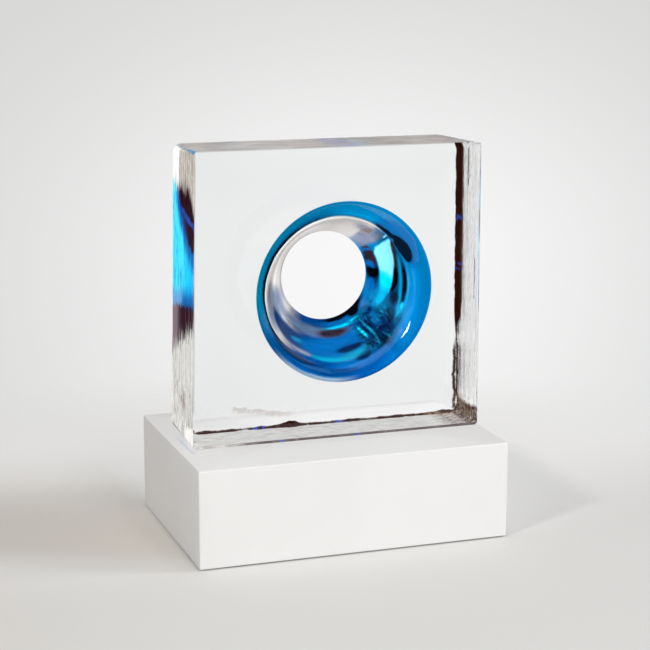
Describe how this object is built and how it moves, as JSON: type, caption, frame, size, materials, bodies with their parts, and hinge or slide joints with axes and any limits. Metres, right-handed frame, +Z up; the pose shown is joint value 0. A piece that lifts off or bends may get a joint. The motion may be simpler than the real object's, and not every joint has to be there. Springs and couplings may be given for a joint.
{
  "type": "glass trophy",
  "caption": "Clear cast-glass block pierced by a blue-lined funnel, bonded upright to a white lacquered box plinth.",
  "frame": {"origin": "on the table, under the middle of the plinth's underside (the felt's lower face)", "axes": "+Z up; +X across the front, to the viewer's right; the trophy's front faces -Y"},
  "size_m": [0.214, 0.148, 0.2626],
  "materials": {
    "clear_glass": "polished front and back, soft mould skin on the other sides",
    "blue_glass": "polished transparent blue",
    "white_lacquer": "satin white lacquer",
    "plain_board": "plain fibreboard",
    "raw_timber": "sawn softwood",
    "clear_silicone": "clear, soft",
    "zinc_steel": "zinc plated",
    "grey_felt": "wool felt"
  },
  "bodies": {
    "root": {"glass_block": "clear_glass", "blue_funnel_liner": "blue_glass", "plinth_top_board": "white_lacquer", "plinth_front_board": "white_lacquer", "plinth_back_board": "white_lacquer", "plinth_right_board": "white_lacquer", "plinth_left_board": "white_lacquer", "plinth_base_board": "plain_board", "bearer_left": "raw_timber", "bearer_right": "raw_timber", "felt_base_pad": "grey_felt", "corner_block_front_left": "raw_timber", "base_screw_front_left": "zinc_steel", "bonding_pad_front_left": "clear_silicone", "corner_block_front_right": "raw_timber", "base_screw_front_right": "zinc_steel", "bonding_pad_front_right": "clear_silicone", "corner_block_back_right": "raw_timber", "base_screw_back_right": "zinc_steel", "bonding_pad_back_right": "clear_silicone", "corner_block_back_left": "raw_timber", "base_screw_back_left": "zinc_steel", "bonding_pad_back_left": "clear_silicone"}
  },
  "joints": []
}
